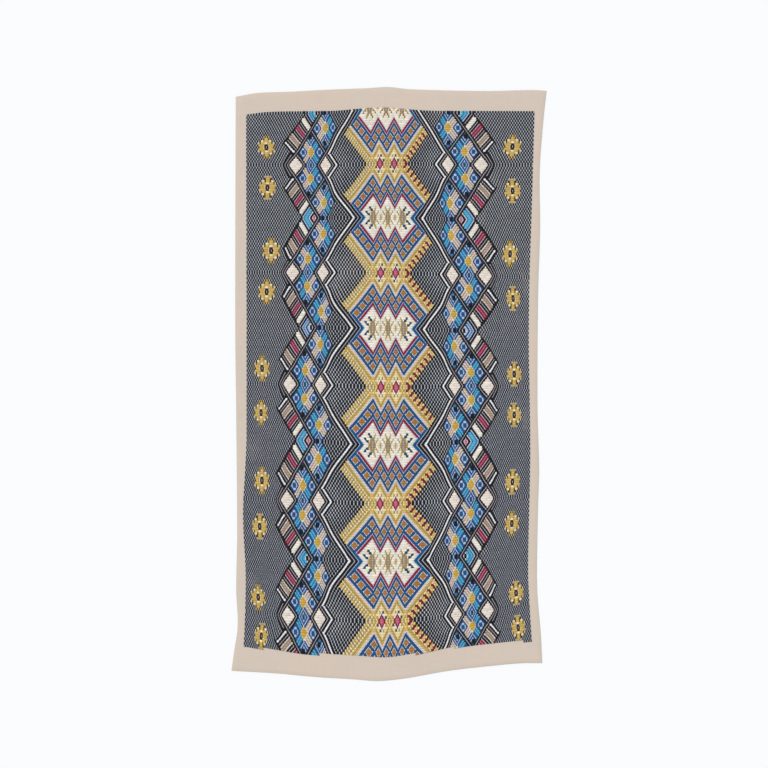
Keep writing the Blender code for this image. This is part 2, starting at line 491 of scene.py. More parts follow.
def net(chart):
    """The net of sun cells, its frames and outer stripes, and the white zigzag."""
    P, Q = chart.P, chart.Q
    sun_cell(chart, 44, 7, closed=False)
    sun_cell(chart, 55, 18, closed=True)
    edge_diamonds(chart)
    chart.stripes((Q >= BAND_Q[0]) & (Q <= BAND_Q[1]), P, OUTER_STRIPES)
    chart.paint((Q == BAND_Q[1] + 1) & (P <= BAND_END_P), "black")
    frames(chart)
    chart.paint((P >= FRAMES_P[0] + 2) & (Q <= ZIGZAG_Q), "shell")
    chart.paint((P >= FRAMES_P[1] + 2) & (Q <= FRAMES_Q[1] - 2), "shell")
    chart.paint((Q == BAND_Q[0]) & (P > BAND_END_P), "grey")
    chart.paint((Q == BAND_Q[0] + 1) & (P > BAND_END_P), "black")
    zigzag = np.maximum(P - ZIGZAG_P, Q - ZIGZAG_Q)
    chart.paint((Q == ZIGZAG_Q + 1) & (chart.rise < KNEE_RISE), "black")
    chart.paint((zigzag == 0) | (zigzag == -1), "white")
    chart.paint(zigzag == -2, "black")


def lattice(chart):
    """The lattice of small diamonds round the middle panel, between two zigzag lines."""
    P, Q, out, rise = chart.P, chart.Q, chart.out, chart.rise
    chart.paint((Q == PANEL_Q + 3) & (P <= 41), "grey")
    chart.paint((Q == PANEL_Q + 2) & (P <= 41), "black")
    chart.paint((Q == PANEL_Q + 1) & (P <= 33), "pale_blue")
    # rows below the upper and the lower zigzag line
    above_line = rise - np.where(out <= 12, abs(out - 6) + 4, 22 - out)
    below_line = above_line - 8
    panel = Q <= PANEL_Q
    chart.paint((above_line < 0) & panel, "cream")
    between = (above_line >= 1) & (below_line <= 0) & panel
    chart.paint(between, "white")
    nearest = np.full(out.shape, 9)
    for i in range(0, 27, 3):
        for j in range(6, 18, 3):
            if (i + j) % 6 == 3:
                nearest = np.minimum(nearest, abs(out - i) + abs(rise - j))
    chart.paint(between & (nearest <= 1), "brown")
    chart.paint(between & (nearest >= 3) & (nearest < 9), "lattice_blue")
    chart.paint(between & (above_line == 1), "lavender")
    chart.paint((above_line == 0) & panel, "crimson")
    chart.paint((above_line == -1) & (Q <= PANEL_Q - 2), "lavender")
    chart.paint((Q == PANEL_Q) & (P <= 30), "lattice_blue")
    chart.paint((Q == PANEL_Q - 1) & (above_line < 0), "pale_blue")
    chart.paint((below_line == 0) & panel, "lattice_blue")
    chart.below_line = below_line


def waist(chart):
    """The gold waist below the lattice: bands, teeth, eyes and small diamonds."""
    P, Q, across = chart.P, chart.Q, chart.across
    inside = (chart.below_line > 0) & (Q <= PANEL_Q + 1) & (P <= 39)
    chart.paint(inside, "pale_gold")
    chart.stripes(inside, chart.below_line, GOLD_BAND)
    teeth = (P >= 36) & (P <= 39) & (Q <= PANEL_Q + 1) & (chart.out >= 12)
    for k, (left, right) in enumerate(TEETH):
        chart.paint(teeth & (Q % 4 == k) & (across < 0), left)
        chart.paint(teeth & (Q % 4 == k) & (across >= 0), right)
    from_waist = HALF_REPEAT - 1 - chart.rise
    for centre in (-6, 6):
        aside = across - centre
        side = abs(aside)
        ring = side + from_waist
        chart.stripes(inside & (chart.below_line >= 6), ring, EYE_RIM)
        chart.paint(inside & (ring <= 2), "crimson")
        chart.paint(inside & (ring <= 1), "pink")
        hooks = inside & (ring == 4) & (side % 2 == 1)
        far = np.where(chart.half % 2 == 1, aside < 0, aside > 0)
        chart.paint(hooks & ~far, "olive")
        chart.paint(hooks & far, "brown")
        chart.paint(hooks & far & np.isin(chart.half, TEAL_HOOKS), "teal")
    for centre in (-12, 0, 12):
        chart.stripes(inside & (P <= 35), abs(across - centre) + from_waist, GOLD_DIAMOND)


def figures(chart):
    """Small spread figures in the middle panel of each medallion."""
    # the first figures are cut short by a row more
    rise = chart.rise + (chart.row < HALF_REPEAT // 2) * (chart.row > 0)
    for centre in (-6, 6):
        aside = abs(chart.across - centre)
        chart.paint(aside + rise <= 1, "pale_gold")
        chart.paint((aside == 0) & (rise == 0), "fawn")
    for centre in (-12, 0, 12):
        aside = chart.across - centre
        side = abs(aside)
        outer = aside * centre > 0
        chart.paint((side == 2) & ((rise == 1) | (rise == 3)), "pale_gold")
        chart.paint((side <= 1) & (rise <= 1) | (side == 0) & (rise == 2), "taupe")
        chart.paint((side == 0) & (rise <= 1), "fawn")
        chart.paint((side == 2) & (rise == 0) | (side == 1) & (rise == 2), "olive")
        limbs = (side == rise - 2) & (rise >= 3) & (rise <= 4)
        limbs |= (side == rise + 2) & (rise >= 1) & (rise <= 2)
        chart.paint(limbs & ~outer, "olive")
        chart.paint(limbs & outer, "teal")
        chart.paint(limbs & (chart.row < 5), "brown")


# g: gold. y and c: pale gold. b: dark brown. n: black. w: white. A dot: the check.
FLOWER_TOP = (
    "....g.g.g....",
    "....bgggb....",
    "..yy.ggg.yy..",
    "ybgggcccgggby",
    "ggggcbnbcgggg",
)
FLOWER = FLOWER_TOP + (".gggcnwncggg.",) + FLOWER_TOP[::-1]
FLOWER_YARNS = dict(
    y="pale_gold", g="flower_gold", b="dark_brown", c="pale_gold", n="black", w="white")
# Each flower's middle: columns from the centre line, and the row.
LEFT_FLOWERS = (
    (87, 16), (86, 35), (83, 63), (86, 81), (89, 114), (89, 133), (87, 161), (88, 180),
    (91, 210), (87, 226),
)
RIGHT_FLOWERS = (
    (87, 16), (87, 36), (85, 63), (88, 82), (89, 115), (88, 133), (87, 162), (87, 180),
    (91, 211), (91, 226),
)


def star_flowers(chart):
    """The gold star flowers in the check, two beside each lozenge."""
    marks = np.array([list(line) for line in FLOWER])
    rows, columns = marks.shape
    for across, row in [(-out, row) for out, row in LEFT_FLOWERS] + list(RIGHT_FLOWERS):
        top, left = row - rows // 2, AXIS + across - columns // 2
        for letter, yarn in FLOWER_YARNS.items():
            cells = np.zeros(chart.out.shape, bool)
            cells[top:top + rows, left:left + columns] = marks == letter
            chart.paint(cells, yarn)


def boundary_leans(part):
    """How far each boundary between neighbouring cells leans, in columns a row.

    A boundary between the same two parts in the rows above and below, one column aside,
    belongs to a diagonal line. Leaning its ends makes the line smooth.
    """
    rows, columns = part.shape
    padded = np.pad(part, 1, constant_values=-1)
    left, right = part[:, :-1], part[:, 1:]
    edge = left != right

    def matches(down, aside):
        near_left = padded[1 + down:1 + down + rows, 1 + aside:columns + aside]
        near_right = padded[1 + down:1 + down + rows, 2 + aside:columns + 1 + aside]
        return edge & (near_left == left) & (near_right == right)

    def lean_of(found):
        return (found[2] - found[0]) / np.maximum(found.sum(axis=0), 1)

    below = np.array([matches(1, aside) for aside in (-1, 0, 1)], float)
    above = np.array([matches(-1, -aside) for aside in (-1, 0, 1)], float)
    both = below * above
    # where a diagonal turns back, its last cell keeps the whole lean
    lone = np.where(abs(lean_of(below)) > abs(lean_of(above)), lean_of(below), lean_of(above))
    lean = np.where(both.sum(axis=0) > 1, 0, lean_of(both))
    return np.where(edge, np.where(both.any(axis=0), lean, lone), 0)


def draw_chart():
    chart = Chart()
    for motif in (check_ground, net, lattice, waist, figures, star_flowers):
        motif(chart)
    return chart


# ---------------------------------------------------------------- floats

LONG_FLOAT = 5          # columns in the longest float, before it is tied down
TIE_STEP = 4
TIE_AFTER, TIE_BEFORE = 2, 1    # columns that a tie leaves free at a run's start and end

Float = namedtuple("Float", "row start end lean_left lean_right")


def float_runs(chart):
    """Every float of the field, its yarn, and whether it is a check float.

    A float has its row, its first and last column lines, and the leans of its ends.
    """
    lean_at = np.zeros((ROWS, COLUMNS + 1))
    lean_at[:, 1:-1] = boundary_leans(chart.part)
    starts = np.ones((ROWS, COLUMNS), bool)
    starts[:, 1:] = (chart.yarn[:, 1:] != chart.yarn[:, :-1]) | (
        (chart.part[:, 1:] != chart.part[:, :-1]) & (lean_at[:, 1:-1] != 0))
    # a long run is tied down every few columns, half a step aside in every other row
    columns = np.arange(COLUMNS) + np.zeros((ROWS, 1), int)
    first = np.maximum.accumulate(np.where(starts, columns, 0), axis=1)
    ends = np.where(np.roll(starts, -1, axis=1), columns, COLUMNS)
    last = np.minimum.accumulate(ends[:, ::-1], axis=1)[:, ::-1]
    tie = (chart.across + (chart.row % 2) * (TIE_STEP // 2)) % TIE_STEP == 0
    tie &= last - first >= LONG_FLOAT
    starts |= tie & (columns - first >= TIE_AFTER) & (last - columns >= TIE_BEFORE)
    # a full yarn spreads over its neighbour
    fullness = np.array([yarn.fullness for yarn in YARNS])[chart.yarn]
    outwards = smooth_step(chart.P, *CHECK_CHANGE_P)
    check_fullness = MIDDLE_CHECK_FULLNESS + (CHECK_FULLNESS - MIDDLE_CHECK_FULLNESS) * outwards
    fullness = np.where(chart.part == 0, fullness * check_fullness, fullness)
    line = np.arange(COLUMNS + 1) + np.zeros((ROWS, 1))
    line[:, 1:-1] += fullness[:, :-1] - fullness[:, 1:]
    row, start = np.nonzero(starts)
    end = np.append(np.where(row[1:] == row[:-1], start[1:], COLUMNS), COLUMNS)
    floats = Float(row, line[row, start], line[row, end], lean_at[row, start], lean_at[row, end])
    return floats, chart.yarn[row, start], chart.part[row, start] == 0


# ---------------------------------------------------------------- node trees

def dye(red, green, blue):
    """A linear colour for a dye seen at its 0 to 255 value in white light."""
    linear = []
    for value in (red, green, blue):
        v = value / 255
        v = v / 12.92 if v <= 0.04045 else ((v + 0.055) / 1.055) ** 2.4
        linear.append(v * DYE_SHARE)
    return tuple(linear)


class Nodes:
    """Short calls that add nodes to a tree. An input is given a value, or a socket to link."""

    def __init__(self, tree):
        self.tree = tree

    def feed(self, socket, value):
        if isinstance(value, bpy.types.NodeSocket):
            self.tree.links.new(value, socket)
        else:
            socket.default_value = value

    def add(self, kind, inputs=None, **settings):
        node = self.tree.nodes.new(kind)
        for name, value in settings.items():
            setattr(node, name, value)
        for key, value in (inputs or {}).items():
            self.feed(node.inputs[key], value)
        return node

    def math(self, operation, *values, clamp=False):
        inputs = dict(enumerate(values))
        return self.add("ShaderNodeMath", inputs, operation=operation, use_clamp=clamp).outputs[0]

    def join(self, x, y, z):
        return self.add("ShaderNodeCombineXYZ", {0: x, 1: y, 2: z}).outputs[0]

    def split(self, vector):
        return self.add("ShaderNodeSeparateXYZ", {0: vector}).outputs

    def named(self, name, kind="FLOAT"):
        node = self.add("GeometryNodeInputNamedAttribute", {"Name": name}, data_type=kind)
        return node.outputs["Attribute"]

    def store(self, geometry, name, value, kind="FLOAT"):
        inputs = {"Geometry": geometry, "Name": name, "Value": value}
        return self.add("GeometryNodeStoreNamedAttribute", inputs, data_type=kind).outputs[0]

    def noise(self, vector, scale, detail, roughness):
        inputs = {"Vector": vector, "Scale": scale, "Detail": detail, "Roughness": roughness}
        return self.add("ShaderNodeTexNoise", inputs).outputs["Fac"]

    def stretch(self, vector, scale):
        return self.add("ShaderNodeMapping", {"Vector": vector, "Scale": scale}).outputs[0]


END_FROM = 0.4          # the blank runs from -0.5 to 0.5, and its ends lie past this
TOP_FROM = 0.25
LONGEST_DIVE = 0.28     # as a share of a float's length
END_NARROWING = 0.12
LOOSE_SPREAD = 0.25     # how much a loose float widens, as a share of how much it rises


def woven_float_tree():
    """A tree that lays one padded float on each point of a mesh.

    Each point carries the float's length, its width, the leans of its two ends, the slope
    of its pick and its shade. The float is a closed pillow that dives at both ends.
    """
    tree = bpy.data.node_groups.new("woven_float", "GeometryNodeTree")
    for kind, names in (
        ("Geometry", "Geometry"), ("Int", "Sections Seed"), ("Float", "Height Dive Crown Unevenness"),
        ("Material", "Yarn"),
    ):
        for name in names.split():
            tree.interface.new_socket(name, in_out="INPUT", socket_type="NodeSocket" + kind)
    tree.interface.new_socket("Geometry", in_out="OUTPUT", socket_type="NodeSocketGeometry")
    nodes = Nodes(tree)
    maths = nodes.math
    given = nodes.add("NodeGroupInput").outputs

    # one blank pillow, its two ends pinched to an edge
    cube = nodes.add("GeometryNodeMeshCube", {
        "Size": (1, 1, 1), "Vertices X": given["Sections"], "Vertices Y": 2, "Vertices Z": 2})
    position = nodes.add("GeometryNodeInputPosition").outputs[0]
    corner = nodes.split(position)
    inner = maths("LESS_THAN", maths("ABSOLUTE", corner["X"]), END_FROM)
    pinched = nodes.join(corner["X"], corner["Y"], maths("MULTIPLY", corner["Z"], inner))
    pinch = nodes.add("GeometryNodeSetPosition", {"Geometry": cube.outputs["Mesh"], "Position": pinched})
    merge = nodes.add("GeometryNodeMergeByDistance", {"Geometry": pinch.outputs[0], "Distance": 0.001})
    blank = nodes.store(merge.outputs[0], "blank", position, "FLOAT_VECTOR")

    # a random rise and width for each float
    least = maths("MULTIPLY", given["Unevenness"], -1)
    chance = nodes.add("FunctionNodeRandomValue", {
        "Seed": given["Seed"], 2: least, 3: given["Unevenness"]}, data_type="FLOAT")
    points = nodes.store(given["Geometry"], "loose", chance.outputs[1])
    scatter = nodes.add("GeometryNodeInstanceOnPoints", {"Points": points, "Instance": blank})
    realize = nodes.add("GeometryNodeRealizeInstances", {0: scatter.outputs[0]})

    # stretch each blank to its float
    blank_at = nodes.named("blank", "FLOAT_VECTOR")
    u, v, w = nodes.split(blank_at)
    length, width, loose = nodes.named("length"), nodes.named("width"), nodes.named("loose")
    at_end = maths("GREATER_THAN", maths("ABSOLUTE", u), END_FROM)
    on_top = maths("GREATER_THAN", w, TOP_FROM)
    dive = maths("MINIMUM", given["Dive"], maths("MULTIPLY", length, LONGEST_DIVE))
    inset = maths("MULTIPLY", dive, maths("SUBTRACT", 1, at_end))
    reach = maths("SUBTRACT", maths("MULTIPLY", length, 0.5), inset)
    along = maths("MULTIPLY", maths("SIGN", u), reach)
    narrow = maths("SUBTRACT", 1, maths("MULTIPLY", on_top, maths("SUBTRACT", 1, given["Crown"])))
    narrow = maths("SUBTRACT", narrow, maths("MULTIPLY", at_end, END_NARROWING))
    spread = maths("MULTIPLY", width, maths("ADD", 1, maths("MULTIPLY", loose, LOOSE_SPREAD)))
    across = maths("MULTIPLY", maths("MULTIPLY", v, spread), narrow)
    lean_left = maths("MULTIPLY", nodes.named("lean_left"), maths("SUBTRACT", 0.5, u))
    lean_right = maths("MULTIPLY", nodes.named("lean_right"), maths("ADD", 0.5, u))
    lean = maths("MULTIPLY", maths("ADD", lean_left, lean_right), maths("DIVIDE", across, width))
    x = maths("SUBTRACT", along, lean)
    y = maths("ADD", across, maths("MULTIPLY", x, nodes.named("slope")))
    z = maths("MULTIPLY", maths("MULTIPLY", given["Height"], maths("ADD", 1, loose)), on_top)
    shaped = nodes.join(x, y, z)
    offset = nodes.add("ShaderNodeVectorMath", {0: shaped, 1: blank_at}, operation="SUBTRACT")
    lay = nodes.add("GeometryNodeSetPosition", {
        "Geometry": realize.outputs[0], "Offset": offset.outputs[0]})

    # along, across and shade, for the yarn's material
    twine = nodes.join(along, v, nodes.named("shade"))
    last = nodes.store(lay.outputs[0], "twine", twine, "FLOAT_VECTOR")
    for name in ("blank", "loose", "length", "width", "lean_left", "lean_right", "slope", "shade"):
        last = nodes.add("GeometryNodeRemoveAttribute", {"Geometry": last, "Name": name}).outputs[0]
    last = nodes.add("GeometryNodeSetShadeSmooth", {"Geometry": last}).outputs[0]
    last = nodes.add("GeometryNodeRealizeInstances", {0: last}).outputs[0]
    last = nodes.add("GeometryNodeSetMaterial", {"Geometry": last, "Material": given["Yarn"]}).outputs[0]
    nodes.add("NodeGroupOutput", {"Geometry": last})
    return tree


# ---------------------------------------------------------------- materials

TWIST_LENGTH = 0.0011       # along a yarn, from one turn of its twist to the next
THREAD_SPACING = 0.0006     # of the ground cloth's own threads


def cotton_material(name, roughness, specular):
    """A matt cotton material, its nodes, and its object coordinates."""
    material = bpy.data.materials.new(name)
    material.use_nodes = True
    shader = material.node_tree.nodes["Principled BSDF"].inputs
    shader["Roughness"].default_value = roughness
    shader["Specular IOR Level"].default_value = specular
    shader["Sheen Weight"].default_value = 0.08
    shader["Sheen Roughness"].default_value = 0.6
    nodes = Nodes(material.node_tree)
    return material, nodes, nodes.add("ShaderNodeTexCoord").outputs["Object"]


def dress_cotton(nodes, colour, tone, relief, strength, depth):
    """Shade the colour by a tone, and raise the relief."""
    shader = nodes.tree.nodes["Principled BSDF"].inputs
    shaded = nodes.add("ShaderNodeVectorMath", {0: colour, "Scale": tone}, operation="SCALE")
    bump = nodes.add("ShaderNodeBump", {"Strength": strength, "Distance": depth, "Height": relief})
    nodes.feed(shader["Base Color"], shaded.outputs[0])
    nodes.feed(shader["Normal"], bump.outputs[0])


def yarn_material(name, colour):
    """A soft-spun cotton weft: plies across the float, slanting twist, fibre flecks, and painted shade
    along its sides.
    """
    material, nodes, place = cotton_material(name, roughness=0.9, specular=0.25)
    maths = nodes.math
    twine = nodes.add("ShaderNodeAttribute", attribute_name="twine")
    along, across, shade = nodes.split(twine.outputs["Vector"])
    flecks = nodes.noise(nodes.stretch(place, (0.25, 1.0, 1.0)), 900.0, 2.0, 0.6)
    fleck_tone = maths("MULTIPLY_ADD", flecks, 0.24, 0.88)
    # painted shade: darker where the float turns down beside its neighbours, where shade falls between
    # floats
    side = maths("POWER", maths("MULTIPLY", maths("ABSOLUTE", across), 2), 3)
    # painted shade on the float's sides, a little brighter on its middle
    painted_side_shade = maths("MULTIPLY_ADD", side, -0.10, 1.02)
    tone = maths("MULTIPLY", maths("MULTIPLY", fleck_tone, painted_side_shade), shade)
    # two plies lie side by side, each twisted
    plies = maths("ABSOLUTE", maths("SINE", maths("MULTIPLY", across, 2 * math.pi)))
    slant = maths("MULTIPLY", across, 9.0)
    twist = maths("SINE", maths("MULTIPLY_ADD", along, 2 * math.pi / TWIST_LENGTH, slant))
    relief = maths("MULTIPLY_ADD", flecks, 0.4, maths("MULTIPLY_ADD", twist, 0.22, plies))
    dress_cotton(nodes, colour[:3], tone, relief, strength=0.35, depth=0.0002)
    return material


def ground_material(colour):
    """Unbleached plain weave: fine warps and picks, slubs, and faint cloudy patches."""
    material, nodes, place = cotton_material("ecru_plain_weave", roughness=0.92, specular=0.2)
    maths = nodes.math
    slubs = [
        nodes.noise(nodes.stretch(place, scale), 1.0, 1.0, 0.5)
        for scale in ((30.0, 700.0, 1.0), (700.0, 30.0, 1.0))
    ]
    slub = maths("ADD", *slubs)
    tone = maths("MULTIPLY_ADD", slub, 0.08, 0.92)
    # warm and cool patches
    tint = nodes.add("ShaderNodeMix", data_type="RGBA")
    for socket, shift in (("A", (1.03, 0.995, 0.985)), ("B", (0.965, 1.0, 0.985))):
        tint.inputs[socket].default_value = (*(c * k for c, k in zip(colour[:3], shift)), 1)
    clouds = nodes.noise(place, 9.0, 2.0, 0.5)
    nodes.feed(tint.inputs["Factor"], maths("MULTIPLY_ADD", clouds, 2.0, -0.5, clamp=True))
    spot = nodes.split(place)
    threads = [
        maths("SINE", maths("MULTIPLY", spot[axis], math.pi / THREAD_SPACING)) for axis in ("X", "Y")]
    relief = maths("MULTIPLY_ADD", slub, 0.8, maths("MULTIPLY", *threads))
    dress_cotton(nodes, tint.outputs["Result"], tone, relief, strength=0.25, depth=0.0001)
    return material


# ---------------------------------------------------------------- settings

def metres(name, default, description):
    return FloatProperty(name=name, description=description, default=default, unit="LENGTH")


def ratio(name, default, description):
    return FloatProperty(name=name, description=description, default=default)


def hue(name, default, description):
    return FloatVectorProperty(
        name=name, description=description, subtype="COLOR", size=3, min=0, max=1, default=default)


def yarn_colour(yarn):
    word = yarn.name.replace("_", " ")
    return hue(word.capitalize(), dye(*yarn[1:4]), f"Colour of the {word} weft")


class BrocadeSizes(bpy.types.PropertyGroup):
    cloth_thickness: metres("Cloth thickness", 0.0012, "Thickness of the ground cloth")
    edge_roll: metres("Edge roll", 0.0009, "How far in from the edge the cloth's face turns down")
    grid_step: metres("Grid step", 0.0075, "Spacing of the ground cloth's mesh")
    undulation: metres("Undulation", 0.00012, "How much the cloth's face rises and dips")
    float_root: metres("Float root", 0.0011, "Height at which the floats dive into the ground")
    float_height: metres("Float height", 0.0008, "How far a float stands above its root")
    float_width: ratio("Float width", 1.12, "Width of a float, as a share of its row")
    float_dive: metres("Float dive", 0.0005, "Length over which a float's end dives")
    float_overlap: metres("Float overlap", 0.0003, "How far the ends of neighbouring floats cross")
    crown: ratio("Crown", 0.82, "Width of a float's flat top, as a share of its width")
    unevenness: ratio("Unevenness", 0.08, "How much the floats' heights differ")
    shade_change: ratio("Shade change", 0.045, "How much the floats' shades differ")
    fading: ratio("Fading", 5.0, "How much brighter the most faded black floats are")
    seed: IntProperty(name="Seed", description="Seed of the floats' differences", default=7)


class BrocadeColours(bpy.types.PropertyGroup):
    """The ground cloth's colour, and one colour for each weft yarn."""
    __annotations__ = dict(
        ground=hue("Ground", dye(213, 198, 185), "Colour of the unbleached ground cloth"),
        **{yarn.name: yarn_colour(yarn) for yarn in YARNS})


class BrocadeStage(bpy.types.PropertyGroup):
    floor_colour: hue("Floor", (0.815, 0.822, 0.835), "Colour of the floor")
    sky_strength: ratio("Sky strength", 0.85, "Strength of the even light from all round")
    sun_strength: ratio("Key strength", 1.33, "Strength of the soft key light")
    camera_height: metres("Camera height", 4.0, "Height of the camera above the cloth")
    frame_width: metres("Frame width", 1.298, "Width of the camera's view at the cloth")
    camera_aside: metres("Camera aside", -0.0085, "Camera's place to the right of the cloth's middle")


class BrocadeSettings(bpy.types.PropertyGroup):
    sizes: PointerProperty(type=BrocadeSizes)
    colours: PointerProperty(type=BrocadeColours)
    stage: PointerProperty(type=BrocadeStage)


# ---------------------------------------------------------------- pieces

CHECK_FLOAT = 1.6
SECTIONS = {"check": 3, "floats": 4}        # vertices along a float
SPLIT_YARNS = ("black", "check_white")      # in so many floats that they make three pieces
SPLIT_AT = 34           # columns from the centre line
ROW_SHADE = 0.4         # how much rows differ, as a share of how much floats do
SHADE_LIMITS = (0.75, 1.25)
# The check's outer fields fade over some rows. Its white loses the first share there, and
# is the second times as bright in the middle field.
OUTER_CHECK = 46        # columns from the centre line
FADING_ROWS = (70, 160)
WHITE_FADING, MIDDLE_WHITE = 0.12, 1.25


def add_object(name, data):
    thing = bpy.data.objects.new(name, data)
    bpy.context.scene.collection.objects.link(thing)
    return thing


def plan_map(mesh):
    """A map of the piece seen from above, filling the unit square over the cloth."""
    places = np.empty(len(mesh.vertices) * 3)
    mesh.vertices.foreach_get("co", places)
    places = places.reshape(-1, 3)
    corners = np.empty(len(mesh.loops), np.int32)
    mesh.loops.foreach_get("vertex_index", corners)
    low, high = (np.array(corner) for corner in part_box("brocade_panel"))
    plan = (places[corners, :2] - low[:2]) / (high[:2] - low[:2])
    layer = mesh.uv_layers.new(name="OFBake")
    layer.data.foreach_set("uv", np.clip(plan, 0.001, 0.999).ravel())


def ground_mesh(sizes):
    """The ground cloth as a closed sheet, its face a little wavy and its edges rolled."""
    roll = sizes.edge_roll

    def stations(span):
        steps = round((span - 2 * roll) / sizes.grid_step)
        inner = np.linspace(roll / span, 1 - roll / span, steps + 1)
        return np.concatenate([[0.0], inner, [1.0]])

    across, along = np.meshgrid(*(stations(side) for side in width_and_length(CLOTH_SIDES)))
    x, y = bowed_point(CLOTH_SIDES, CLOTH_BOWS, across, along)
    centre = cloth_centre()
    x, y = x - centre[0], y - centre[1]
    waves = (       # crossing swells, 7 to 27 cm long
        np.sin(x * 41 + 1.3) * np.sin(y * 23 + 0.4) + 0.6 * np.sin(x * 17 - y * 31 + 2.0)
        + 0.4 * np.sin(x * 73 + y * 57)
    )
    rows, columns = across.shape
    rim = np.zeros(across.shape, bool)
    rim[[0, -1], :] = True
    rim[:, [0, -1]] = True
    thick = sizes.cloth_thickness
    face = np.where(rim, thick * 0.5, thick - sizes.undulation * 0.5 + sizes.undulation * waves / 2)
    top = np.stack([x, y, face], axis=-1).reshape(-1, 3)
    bottom = np.stack([x, y, np.zeros(x.shape)], axis=-1).reshape(-1, 3)
    number = np.arange(rows * columns).reshape(rows, columns)
    count = rows * columns
    quads = np.stack(
        [number[:-1, :-1], number[:-1, 1:], number[1:, 1:], number[1:, :-1]], axis=-1).reshape(-1, 4)
    border = np.concatenate(
        [number[0, :-1], number[:-1, -1], number[-1, :0:-1], number[:0:-1, 0]])
    after = np.roll(border, -1)
    walls = np.stack([border + count, after + count, after, border], axis=-1)
    faces = np.concatenate([quads, quads[:, ::-1] + count, walls])
    mesh = bpy.data.meshes.new("brocade_ground")
    mesh.from_pydata(np.concatenate([top, bottom]).tolist(), [], faces.tolist())
    mesh.validate()
    mesh.shade_smooth()
    plan_map(mesh)
    return mesh


def float_points(name, floats, chosen, shades, sizes):
    """A mesh of loose points, one for each chosen float, with the float's measures."""
    row, start, end = floats.row[chosen], floats.start[chosen], floats.end[chosen]
    x0, y0 = thread_place(start - COLUMNS / 2, row + 0.5)
    x1, y1 = thread_place(end - COLUMNS / 2, row + 0.5)
    middle = (start + end) / 2 - COLUMNS / 2
    _, high = thread_place(middle, row)
    _, low = thread_place(middle, row + 1)
    _, y = thread_place(middle, row + 0.5)
    column_width = (x1 - x0) / (end - start)
    measures = dict(
        length=x1 - x0 + sizes.float_overlap,
        width=(high - low) * sizes.float_width,
        slope=(y1 - y0) / (x1 - x0),
        lean_left=floats.lean_left[chosen] * column_width,
        lean_right=floats.lean_right[chosen] * column_width,
        shade=shades[chosen],
    )
    z = np.full(x0.shape, sizes.float_root)
    mesh = bpy.data.meshes.new(name)
    mesh.from_pydata(np.stack([(x0 + x1) / 2, y, z], axis=-1).tolist(), [], [])
    for key, values in measures.items():
        attribute = mesh.attributes.new(key, "FLOAT", "POINT")
        attribute.data.foreach_set("value", np.asarray(values, np.float32))
    return mesh


def lay_floats(name, points, tree, inputs):
    """The floats on a mesh of points, as one plain mesh piece."""
    piece = add_object(name, points)
    modifier = piece.modifiers.new("woven_float", "NODES")
    modifier.node_group = tree
    for item in tree.interface.items_tree:
        if item.item_type == "SOCKET" and item.in_out == "INPUT" and item.name in inputs:
            modifier[item.identifier] = inputs[item.name]
    bpy.context.view_layer.update()
    evaluated = piece.evaluated_get(bpy.context.evaluated_depsgraph_get())
    mesh = bpy.data.meshes.new_from_object(evaluated)
    mesh.name = name
    piece.modifiers.clear()
    piece.data = mesh
    bpy.data.meshes.remove(points)
    plan_map(mesh)
    return piece


def float_shades(floats, yarns, in_check, sizes):
    """How bright each float is: some differ by chance, and whole rows differ a little.

    The check fades towards the lower part of its outer fields, and is whitest in the middle.
    """
    chance = np.random.default_rng(sizes.seed)
    shade = 1 + sizes.shade_change * chance.standard_normal(floats.row.shape)
    by_row = 1 + ROW_SHADE * sizes.shade_change * chance.standard_normal(ROWS)
    shade = np.clip(shade * by_row[floats.row], *SHADE_LIMITS)
    out = abs((floats.start + floats.end - COLUMNS) / 2)
    outer = in_check & (out > OUTER_CHECK)
    faded = outer * smooth_step(floats.row, *FADING_ROWS)
    is_black = yarns == YARN_NUMBER["black"]
    fading = np.where(is_black, 1 + sizes.fading * faded, 1 - WHITE_FADING * faded)
    return shade * fading * np.where(in_check & ~outer & ~is_black, MIDDLE_WHITE, 1)


class BROCADE_OT_weave_ground(bpy.types.Operator):
    """Weave the plain ground cloth, which carries the brocaded field"""
    bl_idname = "brocade.weave_ground"
    bl_label = "Weave ground cloth"

    def execute(self, context):
        settings = context.scene.brocade
        mesh = ground_mesh(settings.sizes)
        mesh.materials.append(ground_material(settings.colours.ground))
        ground = add_object("brocade_ground", mesh)
        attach(ground, "root")
        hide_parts("brocade_panel")
        return {"FINISHED"}


class BROCADE_OT_brocade_field(bpy.types.Operator):
    """Lay the floats of the brocaded field, one piece for each yarn"""
    bl_idname = "brocade.brocade_field"
    bl_label = "Brocade the field"

    def execute(self, context):
        settings = context.scene.brocade
        sizes = settings.sizes
        floats, yarns, in_check = float_runs(draw_chart())
        shades = float_shades(floats, yarns, in_check, sizes)
        tree = woven_float_tree()
        middle = (floats.start + floats.end) / 2 - COLUMNS / 2
        thirds = (
            ("left", middle < -SPLIT_AT), ("middle", abs(middle) <= SPLIT_AT),
            ("right", middle > SPLIT_AT))
        whole = (("", np.ones(middle.shape, bool)),)
        short = in_check & (floats.end - floats.start < CHECK_FLOAT)
        on_field = floats.row + 0.5 < bottom_row(middle)
        for number, yarn in enumerate(YARNS):
            material = yarn_material(yarn.name + "_cotton", getattr(settings.colours, yarn.name))
            for side, region in thirds if yarn.name in SPLIT_YARNS else whole:
                for kind, in_kind in (("check", short), ("floats", ~short)):
                    chosen = (yarns == number) & region & in_kind & on_field
                    if not chosen.any():
                        continue
                    name = "_".join(word for word in (yarn.name, kind, side) if word)
                    points = float_points(name + "_points", floats, chosen, shades, sizes)
                    piece = lay_floats(name, points, tree, {
                        "Sections": SECTIONS[kind], "Seed": sizes.seed + number,
                        "Height": sizes.float_height, "Dive": sizes.float_dive,
                        "Crown": sizes.crown, "Unevenness": sizes.unevenness, "Yarn": material,
                    })
                    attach(piece, "root")
        return {"FINISHED"}


